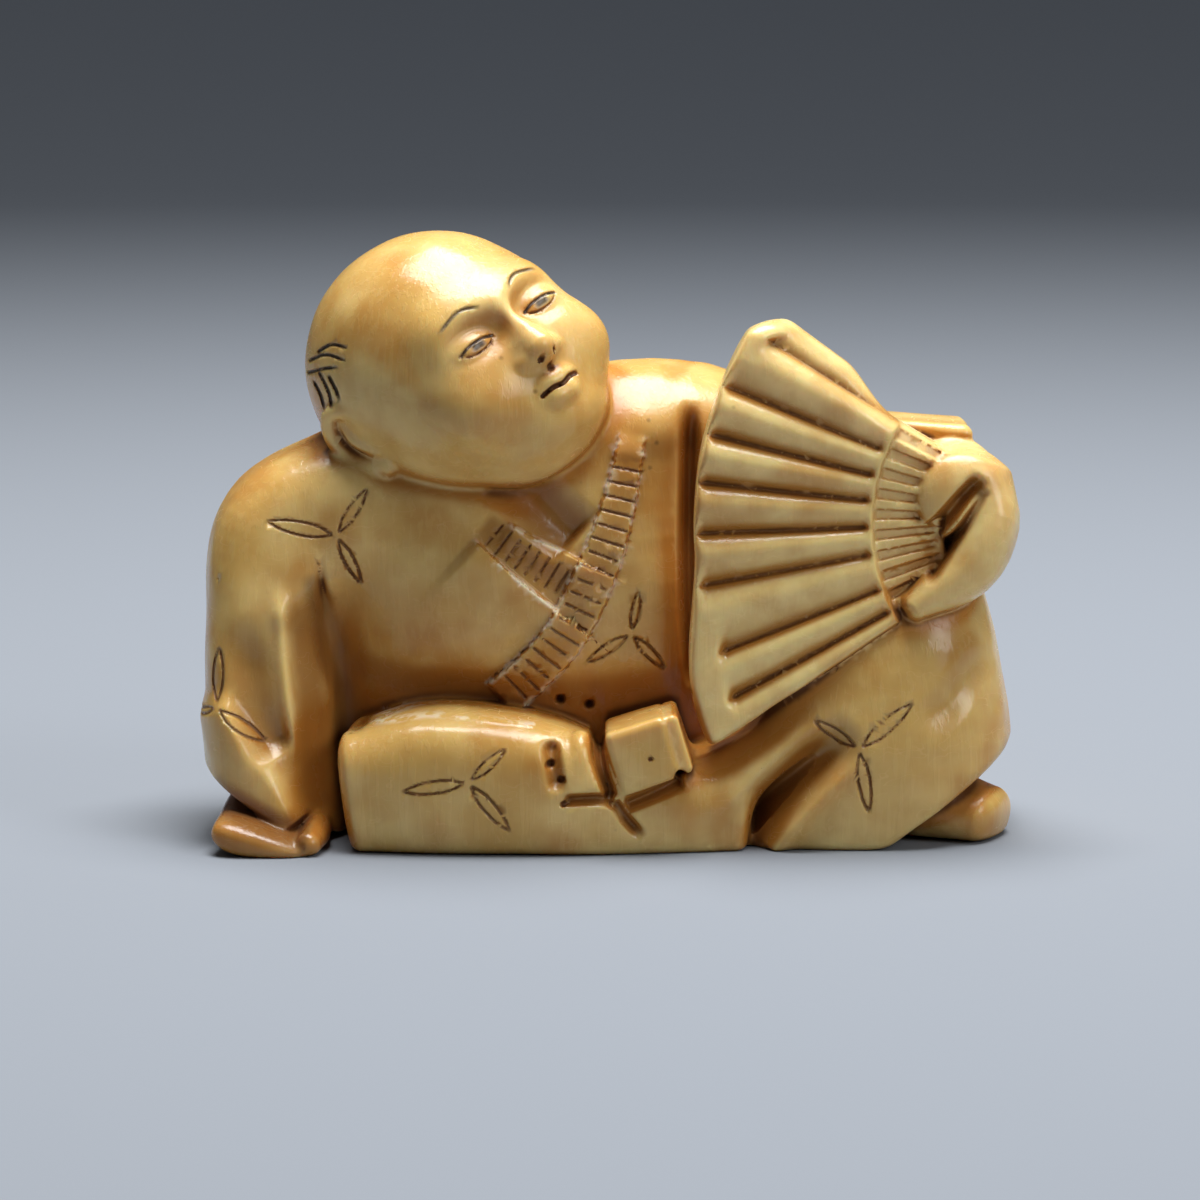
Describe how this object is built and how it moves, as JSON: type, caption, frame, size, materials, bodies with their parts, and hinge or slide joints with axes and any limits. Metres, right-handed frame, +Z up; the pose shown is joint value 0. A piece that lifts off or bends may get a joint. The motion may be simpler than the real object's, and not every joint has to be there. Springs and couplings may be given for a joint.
{
  "type": "netsuke",
  "caption": "Carved toggle in the form of a reclining robed person with an open folding fan, with cord holes that meet inside its back.",
  "frame": {"origin": "middle of the bounding box's footprint, on the flat underside", "axes": "+Z up; the carved front faces -Y; +X runs from the propping hand to the fist that holds the fan"},
  "size_m": [0.0396, 0.0198, 0.0289],
  "materials": {
    "ivory": "polished ivory with a honey-coloured patina, brown stain in the recesses and dark stained engraving"
  },
  "bodies": {
    "root": {"carved_figure": "ivory"}
  },
  "joints": []
}
